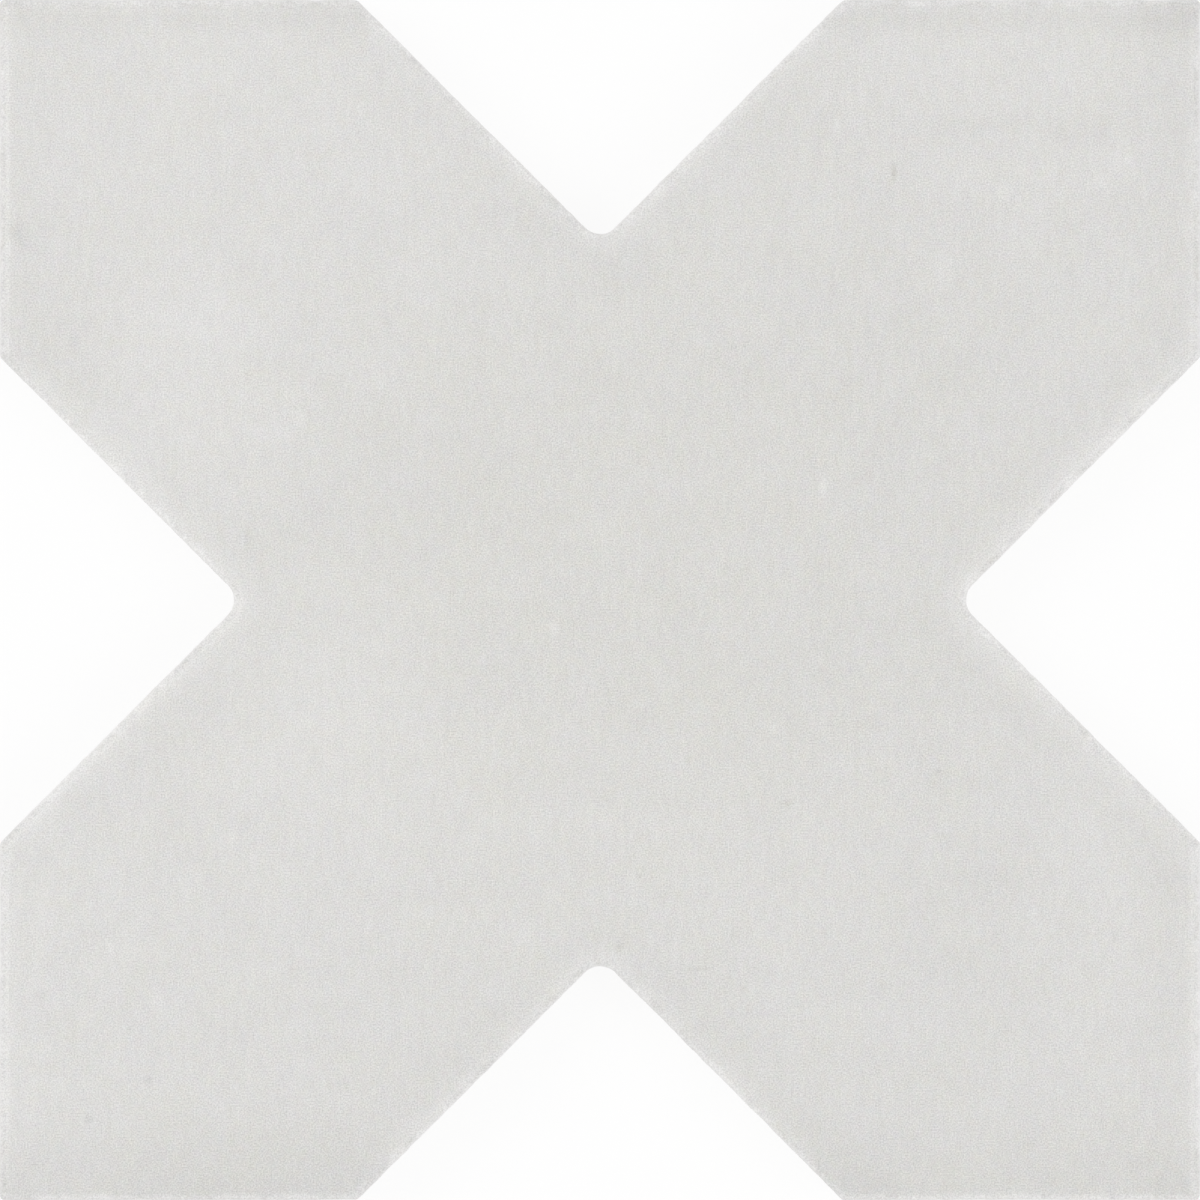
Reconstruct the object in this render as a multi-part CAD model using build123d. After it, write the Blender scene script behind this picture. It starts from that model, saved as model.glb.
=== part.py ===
from build123d import *

import math
import os

# Cross tile of a star and cross set: one pressed, glazed and fired porcelain body.
# It lies glazed face up, with the middle of its keyed back at the origin and +Z up.
# Every length is in millimetres and every angle in degrees.

# Outline, seen from above
TILE_WIDTH = 120.0  # side of the square that the four arm tips fill
TIP_EDGE = 35.8  # straight edge from an arm's tip to the shoulder of the notch beside it
NOTCH_ANGLE = 90.0  # angle between the two sides of a notch
NOTCH_RADIUS = 2.0  # rounding at the bottom of a notch
CORNER_RADIUS = 0.5  # rounding of the upright corners at the tips and shoulders

# Section
THICKNESS = 9.0  # from the bed plane of the back to the glazed face
FACE_EDGE_RADIUS = 1.2  # rounded arris between the glazed face and the sides
SIDE_DRAFT = 1.0  # lean of the sides, so that the back is smaller than the face
BACK_ARRIS = 0.4  # bevel between the sides and the back

# Back, pressed with a grid of ribs that keys into the adhesive
RIB_PITCH = 8.0  # from one rib's middle to the next
RIB_WIDTH = 1.8  # width of a rib where it meets the bed plane
KEY_DEPTH = 0.8  # depth of the cells between the ribs
CELL_DRAFT = 30.0  # lean of a cell's walls, so that the punch comes free
BACK_MARGIN = 2.5  # plain border between the cells and the edge of the back

HALF_WIDTH = TILE_WIDTH / 2
NOTCH_HALF_MOUTH = HALF_WIDTH - TIP_EDGE
NOTCH_DEPTH = NOTCH_HALF_MOUTH / math.tan(math.radians(NOTCH_ANGLE / 2))
CELL_SIDE = RIB_PITCH - RIB_WIDTH


def cross_outline():
    """The face of the tile as a flat sketch: a square with a vee notch in the middle of each side."""
    square = Rectangle(TILE_WIDTH, TILE_WIDTH)
    mouth_left = (-NOTCH_HALF_MOUTH, HALF_WIDTH)
    mouth_right = (NOTCH_HALF_MOUTH, HALF_WIDTH)
    bottom = (0, HALF_WIDTH - NOTCH_DEPTH)
    notch = make_face(Polyline(mouth_left, bottom, mouth_right, close=True))
    cross = square - PolarLocations(0, 4) * notch
    notch_bottoms = cross.vertices().sort_by_distance((0, 0))[:4]
    return fillet(notch_bottoms, NOTCH_RADIUS)


def is_wall(face):
    """True for the upright faces of a prism, which stand round its outline."""
    return abs(face.normal_at().Z) < 0.5


def drafted_prism():
    """The pressed blank with sharp edges, widest just under its face and leaning in towards the back."""
    prism = extrude(cross_outline(), THICKNESS)
    widest = Plane.XY.offset(THICKNESS - FACE_EDGE_RADIUS)
    return draft(prism.faces().filter_by(is_wall), widest, -SIDE_DRAFT)


def is_sharp_corner(edge):
    """True for the upright edges at the tips and shoulders, which stand furthest from the middle."""
    is_upright = abs(edge.tangent_at(0.5).Z) > 0.5
    middle = edge.center()
    return is_upright and max(abs(middle.X), abs(middle.Y)) > HALF_WIDTH - NOTCH_DEPTH / 2


def with_eased_corners(blank):
    """The blank with the rounding that the die wall gives its upright corners."""
    return fillet(blank.edges().filter_by(is_sharp_corner), CORNER_RADIUS)


def with_arrises(blank):
    """The blank with the edges that the punches leave: rounded round the face, bevelled round the back."""
    rounded = fillet(blank.faces().sort_by(Axis.Z)[-1].outer_wire().edges(), FACE_EDGE_RADIUS)
    return chamfer(rounded.faces().sort_by(Axis.Z)[0].outer_wire().edges(), BACK_ARRIS)


def key_cell():
    """One cell of the back as a cutter: a square pocket that widens from its floor to the bed plane."""
    pocket = Box(CELL_SIDE, CELL_SIDE, KEY_DEPTH, align=(Align.CENTER, Align.CENTER, Align.MIN))
    return draft(pocket.faces().filter_by(is_wall), Plane.XY, CELL_DRAFT)


def cell_places(back):
    """The grid places whose whole cell lies within the plain border of the back."""
    ribbed_area = offset(back, -BACK_MARGIN)
    corners = [corner.position for corner in GridLocations(CELL_SIDE, CELL_SIDE, 2, 2)]
    half_rows = math.floor(HALF_WIDTH / RIB_PITCH)
    for place in GridLocations(RIB_PITCH, RIB_PITCH, 2 * half_rows, 2 * half_rows):
        if all(ribbed_area.is_inside(place.position + corner) for corner in corners):
            yield place


def cross_tile():
    """The whole tile: what die and punches leave together, with the key cells pressed into its back."""
    blank = drafted_prism()
    body = with_eased_corners(blank) & with_arrises(blank)
    back = body.faces().sort_by(Axis.Z)[0]
    cell = key_cell()
    return body - [place * cell for place in cell_places(back)]


os.makedirs("parts", exist_ok=True)
export_step(cross_tile(), "parts/cross_tile.step")
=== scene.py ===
import math
import random
from collections import namedtuple

import bmesh
import bpy
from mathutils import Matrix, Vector, kdtree, noise


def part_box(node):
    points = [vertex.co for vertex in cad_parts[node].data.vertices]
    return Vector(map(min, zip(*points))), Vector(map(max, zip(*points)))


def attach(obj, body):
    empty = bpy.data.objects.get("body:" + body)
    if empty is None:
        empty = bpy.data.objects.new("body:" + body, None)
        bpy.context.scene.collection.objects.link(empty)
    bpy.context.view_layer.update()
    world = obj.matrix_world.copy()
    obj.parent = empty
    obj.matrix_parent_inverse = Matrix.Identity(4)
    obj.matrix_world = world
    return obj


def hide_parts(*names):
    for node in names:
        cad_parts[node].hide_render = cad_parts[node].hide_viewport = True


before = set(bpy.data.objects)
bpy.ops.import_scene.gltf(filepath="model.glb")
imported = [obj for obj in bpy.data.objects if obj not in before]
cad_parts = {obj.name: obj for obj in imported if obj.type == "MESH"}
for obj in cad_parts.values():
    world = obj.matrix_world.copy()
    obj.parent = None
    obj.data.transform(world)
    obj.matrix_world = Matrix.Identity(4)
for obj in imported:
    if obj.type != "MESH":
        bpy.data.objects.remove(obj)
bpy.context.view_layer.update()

# The cross tile
# One porcelain body, pressed from powder in a steel die, glazed on its face and fired. The die and its
# punches leave leaning sides, a rounded arris round the face and a grid of ribs on the back.

MM = 0.001  # metres in a millimetre: the tile is shaped in millimetres and scaled at the end
tile_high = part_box("cross_tile")[1]
half_width = tile_high.x / MM
thickness = tile_high.z / MM
tip_edge = 35.8  # from the tip of an arm to the shoulder of the notch beside it
notch_radius = 2.0  # rounding at the bottom of a notch, whose two sides stand square to each other
corner_radius = 0.5  # rounding of the upright corners at tips and shoulders
arris = 1.2  # radius of the rounded edge round the face
side_lean = math.tan(math.radians(1.0))  # how fast the sides draw in towards the back
back_bevel = 0.4
tip_columns = 60  # faces along the straight edge beside a tip
notch_columns = 84  # faces along one side of a notch
arris_rows = 8
side_rows = 5
weld = 0.001  # points nearer than this are one

diagonal = math.sqrt(0.5)  # sine and cosine of the 45 degrees at which the notch sides run
notch_centre = tip_edge + notch_radius / diagonal  # middle of the arc at the bottom of a notch


def notch_gap(x, y):
    """How far a point lies from the edge of the nearest notch, seen from above."""
    far, near = max(abs(x), abs(y)), min(abs(x), abs(y))
    if far + near < notch_centre:
        return math.hypot(far - notch_centre, near) - notch_radius
    return (near - far + tip_edge) * diagonal


def edge_gap(x, y):
    """How far a point lies inside the tile's widest outline, seen from above."""
    return min(half_width - max(abs(x), abs(y)), notch_gap(x, y))


def notch_side(share):
    """A point on the edge of the flat face, from the bottom of a notch (0) up to its shoulder (1)."""
    radius = notch_radius + arris
    foot = Vector((notch_centre - radius * diagonal, radius * diagonal, 0))
    shoulder = Vector((half_width - arris, half_width - tip_edge + arris * (1 / diagonal - 1), 0))
    arc = radius * math.pi / 4
    run = (shoulder - foot).length
    travelled = share * (arc + run)
    if travelled > arc:
        return foot.lerp(shoulder, (travelled - arc) / run)
    turn = math.pi - travelled / radius
    return Vector((notch_centre + radius * math.cos(turn), radius * math.sin(turn), 0))


def everything(mesh):
    """All of a mesh's points, edges and faces, as the operators take them."""
    return mesh.verts[:] + mesh.edges[:] + mesh.faces[:]


# The flat of the face: one eighth between an arm's middle line and a notch side, laid out from a grid of
# one unit square, then its mirror image, and then the other three quarters.
tile = bmesh.new()
outward = tile.verts.layers.float_vector.new("outward")
tip = Vector((half_width - arris, half_width - arris, 0))
half_unit = 0.5
bmesh.ops.create_grid(tile, x_segments=tip_columns, y_segments=notch_columns, size=half_unit)
for vert in tile.verts:
    across, along = vert.co.x + half_unit, vert.co.y + half_unit
    vert.co = (tip * along).lerp(notch_side(along), across)
bmesh.ops.mirror(tile, geom=everything(tile), merge_dist=weld, axis="Y")
other_quarters = 3
bmesh.ops.spin(
    tile,
    geom=everything(tile),
    cent=(0, 0, 0),
    axis=(0, 0, 1),
    angle=other_quarters * math.pi / 2,
    steps=other_quarters,
    use_duplicate=True,
)
bmesh.ops.remove_doubles(tile, verts=tile.verts, dist=weld)
bmesh.ops.translate(tile, verts=tile.verts, vec=(0, 0, thickness))

# Spots of the glaze, listed in millimetres from the middle of the face: half their size across
# and up the face, and the levels of brightness by which they are lighter or darker than the rest.
Spot = namedtuple("Spot", "x y half_across half_up tone")
# Where the glaze lies thin and pale or thick and grey.
patches = (
    Spot(-41, 20, 10, 13, 2.2),
    Spot(-44, 12, 9, 9, 1.0),
    Spot(-41, 25, 7, 7, 1.8),
    Spot(-38, 45, 26, 20, 2.1),
    Spot(-28, -10, 11, 13, 2.6),
    Spot(-18, -18, 14, 8, 1.0),
    Spot(-42, -30, 20, 20, 1.0),
    Spot(-58, -38, 4, 22, 3.0),
    Spot(-20, 11, 14, 8, -1.2),
    Spot(14, 16, 26, 22, -2.0),
    Spot(36, 25, 20, 10, -0.7),
    Spot(16, -8, 24, 10, -1.8),
    Spot(36, -32, 11, 12, -2.0),
    Spot(20, -46, 14, 12, -0.9),
    Spot(50, -32, 6, 12, 1.4),
    Spot(40, 54, 18, 4, 1.4),
    Spot(42, 43, 14, 3, 1.0),
    Spot(42, 47, 16, 1.5, -1.2),
    Spot(55.4, 58.3, 4.6, 2.8, -4.2),
    Spot(57.6, 53, 2.2, 5, -1.5),
    Spot(-34, -58, 14, 5, -1.0),
    Spot(-14, -45, 9, 9, -1.2),
    Spot(42, -50, 16, 5, -1.0),
    Spot(-51, -40, 5, 20, 1.2),
    Spot(0, 54, 56, 4, 0.9),
)
# Where the glaze has broken into small flecks or run into strokes.
flecks = (
    Spot(-30, 18.2, 0.7, 0.6, 4),
    Spot(-29, 21, 0.6, 0.9, 3),
    Spot(-30.8, 20.4, 1.4, 0.5, 3),
    Spot(-34, 16.8, 1.1, 0.7, 3.5),
    Spot(-32.2, 16.2, 0.7, 0.9, 3.5),
    Spot(-37.8, 16.2, 0.9, 0.6, 2.5),
    Spot(-26.8, 20.8, 0.7, 1.1, -3),
    Spot(-43.4, 28.2, 1.8, 0.6, 2.5),
    Spot(-38, 30, 0.9, 0.9, 2),
    Spot(-39.6, 26.8, 0.7, 0.8, 2),
    Spot(-41.6, 26.1, 0.9, 0.6, 2),
    Spot(52, 43.5, 1.0, 0.9, 3.5),
    Spot(49.6, 41.8, 1.1, 0.7, 3.5),
    Spot(47.3, 44.5, 0.6, 0.6, 3),
    Spot(34.4, 33, 0.9, 1.5, 5),
    Spot(40, 40.8, 0.7, 0.9, 4.5),
    Spot(37.8, 41, 0.5, 0.9, 3),
    Spot(39, 47.4, 3.5, 0.7, -2.5),
    Spot(48, 46.3, 4.5, 0.6, -0.8),
    Spot(43.3, -31.9, 0.5, 1.3, 4),
    Spot(38, -16.3, 1.5, 1, 2.5),
    Spot(-42.7, -35, 0.5, 0.9, 3),
    Spot(-44.2, -40.2, 0.5, 0.7, 4),
    Spot(-51.5, -42, 0.5, 0.9, 3),
    Spot(-54.3, -36, 0.6, 3, -2),
    Spot(-55, -41.5, 0.6, 2.5, -1.5),
    Spot(-57.7, -40, 0.5, 8, -2),
    Spot(-58.2, 36.6, 0.9, 1.2, -6),
    Spot(-57.6, 40, 1.4, 14, -1.3),
    Spot(-56.2, 28, 2.2, 8, -1.3),
    Spot(60, -42, 0.6, 17, 5),
    Spot(60, 42, 0.6, 17, -2.5),
    Spot(-60, -42, 0.6, 17, 3),
    Spot(42, -60, 17, 0.9, 3.5),
)
# Pinholes, which show dark, and grains of unmelted glaze, which show pale.
specks = [
    Spot(29.3, 42.6, 0.28, 0.9, -13),
    Spot(18.6, -20.3, 0.5, 0.4, -10),
    Spot(33.7, -17.1, 0.35, 0.3, -9),
    Spot(-35.1, 6.2, 0.4, 1.0, -6),
    Spot(-51, -51.8, 0.45, 0.5, -10),
    Spot(-45.1, -47.9, 0.4, 0.45, -9),
    Spot(-47, -42.7, 0.3, 0.4, -5),
    Spot(-55.7, -39.5, 0.5, 0.4, -6),
    Spot(2, -34.5, 0.45, 0.7, -7),
    Spot(3.9, -27.5, 0.28, 0.28, -8),
    Spot(15.9, -17.7, 0.25, 0.25, -8),
    Spot(13.4, 25.2, 0.4, 0.3, -6),
    Spot(9.8, -36.8, 1.4, 0.12, -8),
    Spot(-4.7, -2.8, 0.5, 0.8, 7),
    Spot(22.3, 11.3, 0.35, 0.9, 10),
    Spot(52.7, 43.9, 0.25, 0.3, 6),
    Spot(17.3, -12.9, 0.28, 0.5, 8),
    Spot(-11.8, -6, 0.28, 0.4, 7),
    Spot(22, -6, 0.4, 0.7, 6),
]
# The faintest of them lie at random, clear of the edges.
chance = random.Random(4)
faint_specks = 70
faint_border = 3.0
face_span = (-half_width, half_width)
faint_limits = Spot(face_span, face_span, half_across=(0.2, 0.35), half_up=(0.25, 0.9), tone=(-4.5, 5))
while faint_specks:
    speck = Spot(*[chance.uniform(low, high) for low, high in faint_limits])
    if edge_gap(speck.x, speck.y) > faint_border:
        specks.append(speck)
        faint_specks -= 1
speck_finder = kdtree.KDTree(len(specks))
for number, speck in enumerate(specks):
    speck_finder.insert((speck.x, speck.y, 0), number)
speck_finder.balance()
speck_cuts = 3  # each face edge near a speck is cut this often, so that the mesh can carry the speck
speck_margin = 0.35  # how much wider and higher than the speck the cut patch is, to each side
spot_core = 0.2  # share of a spot's half size within which it has its full tone
spot_reach = 1.6  # and beyond which nothing of it is left


def rise(value, start, end):
    """Goes smoothly from 0 where the value is at start to 1 where it is at end."""
    share = min(1, max(0, (value - start) / (end - start)))
    return share * share * (3 - 2 * share)


def nearness(place, spot):
    """1 in the middle of a spot, falling smoothly to 0 a little outside it."""
    across = (place.x - spot.x) / spot.half_across
    up = (place.y - spot.y) / spot.half_up
    return rise(math.hypot(across, up), spot_reach, spot_core)


def nearest_speck(place):
    """The speck whose middle lies nearest to a point of the face."""
    return specks[speck_finder.find((place.x, place.y, 0))[1]]


def is_on_speck(edge):
    """True for an edge of the flat that a speck lies on or beside."""
    middle = (edge.verts[0].co + edge.verts[1].co) / 2
    speck = nearest_speck(middle)
    across, up = speck.half_across + speck_margin, speck.half_up + speck_margin
    return not edge.is_boundary and nearness(middle, speck._replace(half_across=across, half_up=up)) > 0


speck_edges = [edge for edge in tile.edges if is_on_speck(edge)]
bmesh.ops.subdivide_edges(tile, edges=speck_edges, cuts=speck_cuts, use_grid_fill=True)


def edge_outward(edge):
    """The level direction that points from the flat of the face out over one edge of it."""
    run = (edge.verts[1].co - edge.verts[0].co).normalized()
    side = Vector((run.y, -run.x, 0))
    middle = (edge.verts[0].co + edge.verts[1].co) / 2
    leaves_face = side.dot(middle - edge.link_faces[0].calc_center_median()) > 0
    return side if leaves_face else -side


def section():
    """The tile's section below the flat of the face, as distances in from the widest line and heights."""
    for row in range(1, arris_rows + 1):
        turn = math.pi / 2 * row / arris_rows
        yield arris * (1 - math.sin(turn)), thickness - arris * (1 - math.cos(turn))
    wall = thickness - arris - back_bevel
    for row in range(1, side_rows + 1):
        drop = wall * row / side_rows
        yield drop * side_lean, thickness - arris - drop
    yield wall * side_lean + back_bevel, 0


# The arris, the sides and the bevel of the back, drawn out row by row from the edge of the flat.
rim = [edge for edge in tile.edges if edge.is_boundary]
for vert in {vert for edge in rim for vert in edge.verts}:
    first, second = [edge_outward(edge) for edge in vert.link_edges if edge.is_boundary]
    vert[outward] = (first + second) / (1 + first.dot(second))
inset = arris
for next_inset, height in section():
    drawn = bmesh.ops.extrude_edge_only(tile, edges=rim)["geom"]
    for vert in [part for part in drawn if isinstance(part, bmesh.types.BMVert)]:
        vert.co += vert[outward] * (inset - next_inset)
        vert.co.z = height
    rim = [part for part in drawn if isinstance(part, bmesh.types.BMEdge) and part.is_boundary]
    inset = next_inset
bmesh.ops.recalc_face_normals(tile, faces=tile.faces)


def is_upright(edge):
    """True for an edge that runs up or down the tile."""
    return abs(edge.verts[0].co.z - edge.verts[1].co.z) > weld


def corner_edges(turn):
    """The upright edges at the corners where the outline turns through this angle."""
    reach = 1 / math.cos(turn / 2)  # length of a corner point's outward step
    return [
        edge
        for edge in tile.edges
        if is_upright(edge) and all(abs(vert[outward].length - reach) < weld for vert in edge.verts)
    ]


def round_off(edges, offset, segments):
    """Rounds edges of the tile."""
    bmesh.ops.bevel(
        tile,
        geom=edges,
        offset=offset,
        offset_type="OFFSET",
        segments=segments,
        profile=0.5,
        affect="EDGES",
        material=-1,
    )


tip_turn = math.radians(90)
shoulder_turn = math.radians(45)
round_off(corner_edges(shoulder_turn), corner_radius * math.tan(shoulder_turn / 2), segments=2)
round_off(corner_edges(tip_turn), corner_radius * math.tan(tip_turn / 2), segments=4)

# The back: a sheet of square cells, each sunk between ribs, joined to the bevel by a plain border.
rib_pitch = 8.0
rib_width = 1.8
key_depth = 0.8
cell_lean = math.tan(math.radians(30))
back_margin = 2.5
cell_corner = 0.7  # rounding of a cell's upright corners
rib_ease = 0.14  # wear of the ribs' edges, and the fillet round each cell's floor
crease_angle = math.radians(20)  # edges that bend more than this are eased
half_rows = math.floor(half_width / rib_pitch)
back_inset = inset


def is_whole(cell):
    """True for a cell whose mouth keeps the plain border's width from the edge of the back."""
    middle = cell.calc_center_median()
    half_mouth = (rib_pitch - rib_width) / 2
    mouth = [(middle.x + i * half_mouth, middle.y + j * half_mouth) for i in (-1, 1) for j in (-1, 1)]
    return all(edge_gap(x, y) - back_inset > back_margin for x, y in mouth)


rows = 2 * half_rows
grid = bmesh.ops.create_grid(tile, x_segments=rows, y_segments=rows, size=half_rows * rib_pitch)["verts"]
cells = list({face for vert in grid for face in vert.link_faces})
bmesh.ops.delete(tile, geom=[cell for cell in cells if not is_whole(cell)], context="FACES")
cells = [cell for cell in cells if cell.is_valid]
bmesh.ops.inset_individual(tile, faces=cells, thickness=rib_width / 2, use_even_offset=True)
sunk = key_depth * cell_lean
bmesh.ops.inset_individual(tile, faces=cells, thickness=sunk, depth=key_depth, use_even_offset=True)
cell_edges = {edge for cell in cells for vert in cell.verts for edge in vert.link_edges}
round_off([edge for edge in cell_edges if is_upright(edge)], cell_corner, segments=3)


def is_crease(edge):
    """True for the edges where a cell's wall meets a rib or the cell's floor."""
    is_low = edge.verts[0].co.z < key_depth + weld
    is_in_grid = edge_gap(*edge.verts[0].co.xy) - back_inset > back_margin
    return is_low and is_in_grid and not is_upright(edge) and edge.calc_face_angle(0) > crease_angle


round_off([edge for edge in tile.edges if is_crease(edge)], rib_ease, segments=2)
open_edges = [edge for edge in tile.edges if edge.is_boundary]
bmesh.ops.triangle_fill(tile, edges=open_edges, use_beauty=True, normal=(0, 0, -1))
bmesh.ops.recalc_face_normals(tile, faces=tile.faces)

# What firing leaves: a face that swells and dips under the glaze, a bead of glaze just inside the
# arris, pinholes and grains, and edges that draw in a little from the die's straight lines.
# An unevenness has a greatest strength, a size of wave and a shift that sets it apart from the others.
Unevenness = namedtuple("Unevenness", "strength size shift", defaults=[Vector((0, 0, 0))])
swell = Unevenness(0.05, 24)
ripple = Unevenness(0.012, 6, Vector((0, 0, 7)))
wander = Unevenness(0.08, 9, Vector((3, 0, 0)))
ragged = Unevenness(0.10, 1.1, Vector((0, 5, 0)))
bead_height = 0.03
bead_gap = 2.7  # from the widest line in to the top of the bead
bead_width = 1.1
pinhole_depth = 0.03
highest = swell.strength + ripple.strength + 2 * bead_height + pinhole_depth


def uneven(place, unevenness):
    """How far an unevenness goes up or down at a point."""
    return unevenness.strength * noise.noise(place / unevenness.size + unevenness.shift)


def fired_height(place):
    """Height of the fired glaze over the pressed face, which it never stands above."""
    slow = uneven(place, swell)
    from_bead = (edge_gap(place.x, place.y) - bead_gap) / bead_width
    bead = bead_height * math.exp(-(from_bead**2)) * (1 + slow / swell.strength)
    speck = nearest_speck(place)
    grain = math.copysign(pinhole_depth, speck.tone) * nearness(place, speck)
    return slow + uneven(place, ripple) + bead + grain - highest


def drawn_in(place):
    """How far the fired edge has drawn in from the die's line, which it never crosses."""
    furthest_out = wander.strength + ragged.strength
    return (furthest_out + uneven(place, wander) + uneven(place, ragged)) / 2


# The tone of the glaze, in levels of brightness: clouds and upright strokes all over, and spots whose
# outlines drift.
clouds = Unevenness(0.8, 26)
small_clouds = Unevenness(1.5, 5)
stroke_tone = 1.3
stroke_across = 1.4
stroke_up = 5.0
patch_drift = Unevenness(3, 14)
fleck_drift = Unevenness(0.7, 1.5)


def cloud_tone(place):
    """What clouds and upright strokes add to the tone."""
    stroke = noise.noise(Vector((place.x / stroke_across, place.y / stroke_up, 0)))
    return uneven(place, clouds) + uneven(place, small_clouds) + stroke_tone * stroke


def spot_tone(place):
    """What patches, flecks and specks add to the tone."""
    speck = nearest_speck(place)
    tone = speck.tone * nearness(place, speck)
    for spots, drift in ((patches, patch_drift), (flecks, fleck_drift)):
        drifted = place + drift.strength * noise.noise_vector(place / drift.size)
        tone += sum(spot.tone * nearness(drifted, spot) for spot in spots)
    return tone


# The glaze thins to a pale film over the arris, and at its very edge the tone is lifted further still:
# painted light that offsets the shade the rounded arris falls into as it turns away from the light. Both
# are weaker along the straight edges of the tips than in the notches.
film_tone = 10
film_loss_level = 8  # along the upper and lower edges
film_loss_left = 6
film_loss_right = 5
film_change = Unevenness(5, 12)
film_fade = 1.1  # from the edge in to where about a third of the film's tone is left
# Painted highlight: the very edge of the arris is lifted to make up for the shade it takes as it turns away
# from the light.
painted_edge_light_tone = 14
painted_edge_light_loss_left = 5
painted_edge_light_core = 0.1  # from the edge in, as far as the painted edge light is full
painted_edge_light_reach = 0.7  # from the edge in, as far as any of the painted edge light reaches
painted_edge_light_gain_level = 0.15  # how much further it shows along the upper and lower edges
rim_wave = Unevenness(0.35, 2.4)
rim_fray = Unevenness(0.2, 0.8)
along_edge = 1.0  # a point this near to a straight edge belongs to it fully
level_reach = 4.0  # and one this near to an upper or lower edge begins to
upright_reach = 6.0  # or this near to a left or right one
pale_full = 1.0  # drop below the face down to which the rim is as pale as on the face
pale_end = 2.2  # and at which it is the colour of the sides


def rim_tone(place, drop):
    """What the thin glaze over the arris, and the painted light at its very edge, add to the tone, drop
    below the face.
    """
    gap = edge_gap(place.x, place.y) + uneven(place, rim_wave) + uneven(place, rim_fray)
    on_level = rise(half_width - abs(place.y), level_reach, along_edge)
    on_left = rise(half_width + place.x, upright_reach, along_edge)
    on_right = rise(half_width - place.x, upright_reach, along_edge)
    film = film_tone - film_loss_level * on_level - film_loss_left * on_left - film_loss_right * on_right
    film = max(0, film + uneven(place, film_change))
    thin = film * math.exp(-max(0, gap) / film_fade)
    # painted light on the very edge of the arris, standing in for the light it loses by turning away
    painted_edge_light = rise(gap, painted_edge_light_reach + painted_edge_light_gain_level * on_level, painted_edge_light_core)
    painted_edge_light *= painted_edge_light_tone - painted_edge_light_loss_left * on_left
    return (thin + painted_edge_light) * rise(drop, pale_end, pale_full)


# Just inside the rim the tone is darker, most of all along the lower edge. A band has the levels by which
# it is darker, and how far in from its edge it starts, is full, begins to fade and ends.
InnerBand = namedtuple("InnerBand", "tone start full fading end")
notch_band = InnerBand(1.0, 1.2, 2.8, 3, 8)
top_band = InnerBand(2.8, 0.9, 1.8, 2, 4.5)
bottom_band = InnerBand(5.4, 0.2, 1, 1, 10)
right_band = InnerBand(1.9, 0.8, 1.8, 3, 8)
sidelong_tone = 1.3  # by which the left and right notches are paler, and the upper and lower ones darker
sidelong_full = 1.0  # from a notch's edge in, as far as that holds fully
sidelong_reach = 5.0  # and as far as any of it is left


def inner_band_tone(place):
    """What the darker band just inside the rim takes from the tone, and what the sides of the notches add
    or take.
    """
    from_notch = notch_gap(place.x, place.y)
    sidelong = (abs(place.x) - abs(place.y)) / tip_edge  # 1 at a left or right notch, -1 at the others
    tone = sidelong_tone * sidelong * rise(from_notch, sidelong_reach, sidelong_full)
    for gap, band in (
        (from_notch, notch_band),
        (half_width - place.y, top_band),
        (half_width + place.y, bottom_band),
        (half_width - place.x, right_band),
    ):
        tone -= band.tone * rise(gap, band.start, band.full) * rise(gap, band.end, band.fading)
    return tone


glaze_depth = 4.4  # from the face down to where the glaze ends on the sides, on the whole
foot_wave = Unevenness(1.7, 8)
foot_ripple = Unevenness(0.7, 3.2)


def glaze_foot(place):
    """The height at which the glaze ends on a side: it ran further down in some places than in others."""
    return thickness - glaze_depth + uneven(place, foot_wave) + uneven(place, foot_ripple)


tone_layer = tile.verts.layers.float.new("glaze_tone")
foot_layer = tile.verts.layers.float.new("glaze_foot")
for vert in tile.verts:
    place = vert.co.copy()
    place.z = 0
    drop = thickness - vert.co.z
    vert[foot_layer] = glaze_foot(place)
    if vert.co.z > back_bevel:
        vert[tone_layer] = spot_tone(place) + cloud_tone(place) + rim_tone(place, drop) + inner_band_tone(place)
        vert.co -= vert[outward] * drawn_in(vert.co)
    if drop < arris:
        vert.co.z += fired_height(place) * (1 - drop / arris)

for face in tile.faces:
    face.smooth = True
bmesh.ops.scale(tile, verts=tile.verts, vec=(MM, MM, MM))
tile.verts.layers.float_vector.remove(outward)
tile_mesh = bpy.data.meshes.new("cross_tile_glazed")
tile.to_mesh(tile_mesh)
tile.free()
cross_tile = bpy.data.objects.new("cross_tile_glazed", tile_mesh)
bpy.context.scene.collection.objects.link(cross_tile)
cross_tile.modifiers.new("even_shading", "WEIGHTED_NORMAL")


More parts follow.
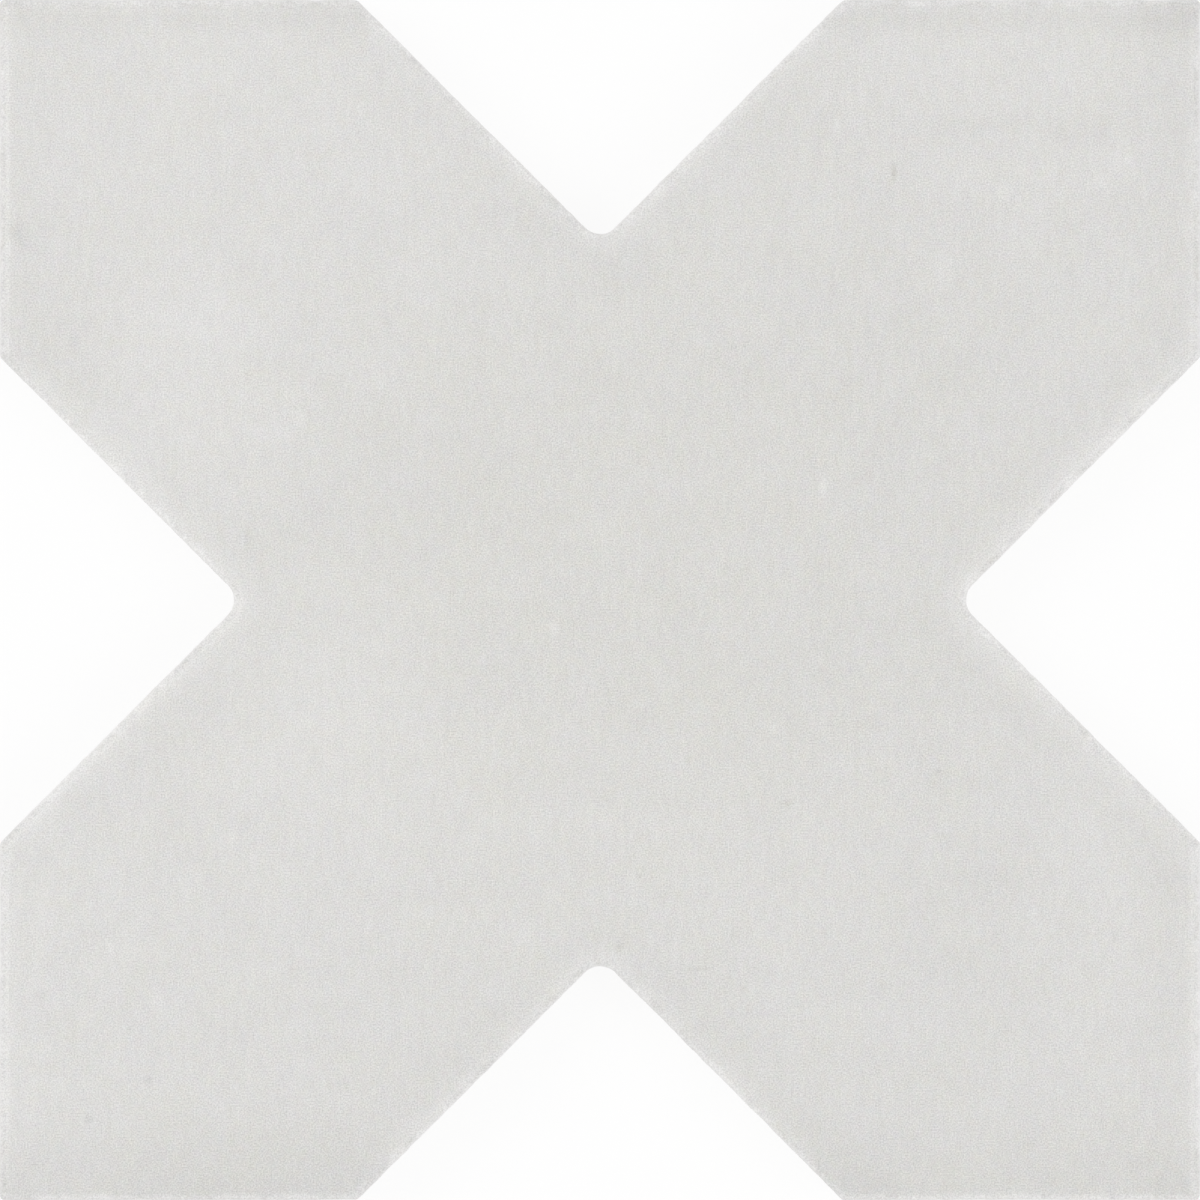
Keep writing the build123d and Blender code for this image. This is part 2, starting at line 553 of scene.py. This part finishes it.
class Field:
    """A socket whose value changes over a surface, so that glaze and body are written as plain sums."""

    def __init__(self, tree, socket=None):
        self.tree = tree
        self.socket = socket

    def node(self, kind, settings, values, result=0):
        """Adds a node, sets its settings, fills or links its sockets and gives one of its outputs."""
        made = self.tree.nodes.new(kind)
        for name, setting in settings.items():
            setattr(made, name, setting)
        for name, value in values.items():
            if isinstance(value, Field):
                self.tree.links.new(value.socket, made.inputs[name])
            else:
                made.inputs[name].default_value = value
        return Field(self.tree, made.outputs[result])

    def math(self, operation, first, second):
        """A Math node on two fields, or on a field and a number."""
        return self.node("ShaderNodeMath", {"operation": operation}, {0: first, 1: second})

    def __add__(self, other):
        return self.math("ADD", self, other)

    def __sub__(self, other):
        return self.math("SUBTRACT", self, other)

    def __mul__(self, other):
        return self.math("MULTIPLY", self, other)

    def __rsub__(self, other):
        return self.math("SUBTRACT", other, self)

    __radd__ = __add__
    __rmul__ = __mul__

    def rise(self, start, end):
        """Goes smoothly from 0 where the field is at start to 1 where it is at end."""
        ends = {"Value": self, "From Min": start, "From Max": end}
        return self.node("ShaderNodeMapRange", {"interpolation_type": "SMOOTHSTEP"}, ends)

    def vector(self, operation, values, result=0):
        """A Vector Math node with these values or links."""
        return self.node("ShaderNodeVectorMath", {"operation": operation}, values, result)

    def in_cells(self, size):
        """A place in millimetres, counted in cells of this size across, up and high."""
        return self.vector("MULTIPLY", {0: self, 1: [1 / side for side in size]})

    def mottle(self, size=1.0, detail=0.0):
        """Cloudy noise about zero, with patches of this size and as many finer sizes as detail says."""
        values = {"Vector": self, "Scale": 1 / size, "Detail": detail}
        return self.node("ShaderNodeTexNoise", {}, values) - 0.5

    def blend(self, first, second):
        """The first colour where the field is 0 and the second where it is 1."""
        return self.node("ShaderNodeMix", {"data_type": "RGBA"}, {"Factor": self, 6: first, 7: second}, 2)

    def shade(self, colour):
        """A colour made lighter or darker by the field."""
        return self.vector("SCALE", {0: colour, "Scale": self})


# The glaze is a mix of a cool and a warm grey, with the warm one mostly in the middle of the face.
cool_glaze = (0.706, 0.700, 0.692, 1)
warm_glaze = (0.708, 0.701, 0.665, 1)
tone_step = 0.0103  # share of its brightness by which one level of tone lightens the glaze
warm_share = 0.31
warm_gain = 0.25  # how much more of the warm grey there is in the middle
warm_full = 12.0  # from the middle of the face out, as far as it has all of that
warm_end = 52.0  # and as far as it has any
warm_loss = 0.02  # how much less of it there is for each level of tone
warm_clouds = Unevenness(0.9, 3.5)
warm_grain = Unevenness(1.1, 1.1)
streak_tone = 10
streak_cell = (0.6, 1.9, 1)
speckle_tone_side = 6
speckle_gain_face = 45  # how much stronger the speckle is on the face
speckle_start = 1.1  # drop below the face at which it begins to grow stronger
speckle_full = 0.5  # and at which it is as strong as on the face
speckle_cell = (0.15, 0.15, 0.886)  # the height keeps the face on one plane of cells, so that it is even
hue_share = 0.085
hue_size = 0.8

# The body is cream where it is bare, with iron specks, and has white kiln wash on the ribs of its back.
body_colour = (0.70, 0.66, 0.59)
grain_size = 0.45
grain_share = 0.10
press_line_cell = (0.3, 0.3, 5)
press_line_share = 0.08
iron_share = 0.3
iron_start, iron_full = 0.24, 0.3  # the grain's peaks, which are iron
wash_colour = (0.82, 0.81, 0.79, 1)
wash_end, wash_full = 0.16, 0.02  # heights to which the wash reaches at all, and fully
wash_cover = 0.6
wash_patches = Unevenness(1.4, 4.2)
wash_start, wash_whole = 0.2, 1.0  # cover below which there is no wash, and at which it is whole
foot_start, foot_full = -0.1, 0.4  # heights over its foot at which the glaze begins, and is full

body_roughness = 0.8
glaze_smoothing = 0.42  # how much less rough the glaze is
roughness_change = Unevenness(0.12, 2.3)
glaze_film = 0.07  # how far the glaze stands over the body
glaze_peel = Unevenness(0.013, 1.2)
grain_relief = 0.03


def glazed_porcelain():
    """Pale grey satin glaze on the face and down the sides, and bare body with kiln wash on the back."""
    material = bpy.data.materials.new("glazed_porcelain")
    material.use_nodes = True
    tree = material.node_tree
    from_origin = Field(tree).node("ShaderNodeTexCoord", {}, {}, "Object")
    place = from_origin.vector("SCALE", {0: from_origin, "Scale": 1 / MM})
    height = place.node("ShaderNodeSeparateXYZ", {}, {0: place}, "Z")

    def mottled(unevenness, detail=0.0):
        """An unevenness of the glaze or the body, as a field."""
        return unevenness.strength * place.mottle(unevenness.size, detail)

    tone = place.node("ShaderNodeAttribute", {"attribute_name": "glaze_tone"}, {}, "Fac")
    in_middle = place.vector("LENGTH", {0: place}, "Value").rise(warm_end, warm_full)
    warmth = warm_share + warm_gain * in_middle - warm_loss * tone
    warmth += mottled(warm_clouds) + mottled(warm_grain)
    on_face = height.rise(thickness - speckle_start, thickness - speckle_full)
    speckle = speckle_tone_side + speckle_gain_face * on_face
    tone += streak_tone * place.in_cells(streak_cell).mottle(detail=1.0)
    tone += speckle * place.in_cells(speckle_cell).mottle()
    glaze = (1 + tone_step * tone).shade(warmth.blend(cool_glaze, warm_glaze))
    hue_noise = {"Vector": place, "Scale": 1 / hue_size, "Detail": 1.0}
    hues = place.node("ShaderNodeTexNoise", {}, hue_noise, "Color")
    soft_light = {"data_type": "RGBA", "blend_type": "SOFT_LIGHT"}
    glaze = glaze.node("ShaderNodeMix", soft_light, {"Factor": hue_share, 6: glaze, 7: hues}, 2)

    # The glaze stops part of the way down the sides, and the bare body shows below it and on the back.
    foot = place.node("ShaderNodeAttribute", {"attribute_name": "glaze_foot"}, {}, "Fac")
    glazed = (height - foot).rise(foot_start, foot_full)
    grain = place.mottle(grain_size)
    press_lines = place.in_cells(press_line_cell).mottle()
    iron = grain.rise(iron_start, iron_full)
    body = (1 + grain_share * grain + press_line_share * press_lines - iron_share * iron).shade(body_colour)
    cover = (wash_cover + mottled(wash_patches, detail=2.0)).rise(wash_start, wash_whole)
    wash = height.rise(wash_end, wash_full) * cover
    colour = glazed.blend(wash.blend(body, wash_colour), glaze)

    roughness = body_roughness + glazed * (mottled(roughness_change) - glaze_smoothing)
    relief = glazed * (glaze_film + mottled(glaze_peel)) + (1 - glazed) * (grain_relief * grain)
    normal = relief.node("ShaderNodeBump", {}, {"Height": relief, "Distance": MM}, "Normal")
    for name, field in (("Base Color", colour), ("Roughness", roughness), ("Normal", normal)):
        tree.links.new(field.socket, tree.nodes["Principled BSDF"].inputs[name])
    return material


cross_tile.data.materials.append(glazed_porcelain())
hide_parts("cross_tile")
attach(cross_tile, "root")

# The floor and the light
# A plain white sheet under the tile, two large soft lamps and an even white room. The sheet and the
# room show white to the camera, and the sheet still takes a faint shadow from the tile.

floor_reach = 4.0
floor_drop = 0.0002  # keeps the sheet clear of the tile's back
paper_colour = (0.95, 0.95, 0.95, 1)
white = (1, 1, 1, 1)
shadow_share = 0.09  # how much of the sheet's look comes from the light that falls on it
under_tile = 0.0015  # light that has come no further than this to the sheet passes, and so lights the back


def shown(tree):
    """1 for what the camera sees, straight, reflected or through something clear, and 0 for the rest."""
    direct, glossy, passed = [
        Field(tree).node("ShaderNodeLightPath", {}, {}, name)
        for name in ("Is Camera Ray", "Is Glossy Ray", "Is Transmission Ray")
    ]
    return direct.math("MAXIMUM", direct, glossy.math("MAXIMUM", glossy, passed))


def white_sheet():
    """White paper that glows to the camera, and that is clear when it is seen from below."""
    material = bpy.data.materials.new("white_sheet")
    material.use_nodes = True
    tree = material.node_tree
    seen = shown(tree)
    travelled = seen.node("ShaderNodeLightPath", {}, {}, "Ray Length")
    below = seen.node("ShaderNodeNewGeometry", {}, {}, "Backfacing")
    paper = seen.node("ShaderNodeBsdfDiffuse", {}, {"Color": paper_colour})
    glow = seen.node("ShaderNodeEmission", {}, {"Color": white, "Strength": 1.0})
    clear = seen.node("ShaderNodeBsdfTransparent", {}, {})
    sheet = seen.node("ShaderNodeMixShader", {}, {0: seen * (1 - shadow_share), 1: paper, 2: glow})
    passes = below.math("MAXIMUM", below, travelled.math("LESS_THAN", travelled, under_tile))
    surface = seen.node("ShaderNodeMixShader", {}, {0: passes, 1: sheet, 2: clear})
    tree.links.new(surface.socket, tree.nodes["Material Output"].inputs["Surface"])
    return material


sheet = bmesh.new()
bmesh.ops.create_grid(sheet, x_segments=1, y_segments=1, size=floor_reach)
bmesh.ops.translate(sheet, verts=sheet.verts, vec=(0, 0, -floor_drop))
floor_mesh = bpy.data.meshes.new("floor")
sheet.to_mesh(floor_mesh)
sheet.free()
floor = bpy.data.objects.new("floor", floor_mesh)
floor.data.materials.append(white_sheet())
bpy.context.scene.collection.objects.link(floor)


def soft_lamp(name, place, size, share):
    """A square lamp aimed at the tile, which lights a white face turned to it to this share of white."""
    lamp = bpy.data.lights.new(name, "AREA")
    lamp.size = size
    lamp.energy = share * math.pi**2 * Vector(place).length_squared
    holder = bpy.data.objects.new(name, lamp)
    holder.location = place
    holder.rotation_euler = Vector(place).to_track_quat("Z", "Y").to_euler()
    bpy.context.scene.collection.objects.link(holder)


soft_lamp("lamp_left", place=(-1.5, 0.5, 1.9), size=1.4, share=0.28)
soft_lamp("lamp_right", place=(1.4, -0.6, 1.9), size=1.4, share=0.24)

room_light = 0.62  # of white, on all that the camera doesn't see straight or in a reflection
room = bpy.data.worlds.new("white_room")
room.use_nodes = True
background = room.node_tree.nodes["Background"]
background.inputs["Color"].default_value = white
room_strength = room_light + (1 - room_light) * shown(room.node_tree)
room.node_tree.links.new(room_strength.socket, background.inputs["Strength"])
bpy.context.scene.world = room

# The camera
# A long lens straight above the tile, so that the square of the four arm tips fills the frame.

lens = 400.0
sensor = 36.0
furthest_seen = 20.0
frame_trim = 0.1  # the frame's edge trims the drawn-in edges of the tips by this much
camera_data = bpy.data.cameras.new("camera")
camera_data.lens = lens
camera_data.sensor_width = sensor
camera_data.clip_end = furthest_seen
camera = bpy.data.objects.new("camera", camera_data)
frame_half = (half_width - frame_trim) * MM
widest_line = (thickness - arris) * MM
camera.location = (0, 0, widest_line + frame_half * lens / (sensor / 2))
bpy.context.scene.collection.objects.link(camera)
bpy.context.scene.camera = camera
bpy.context.scene.view_settings.view_transform = "Standard"
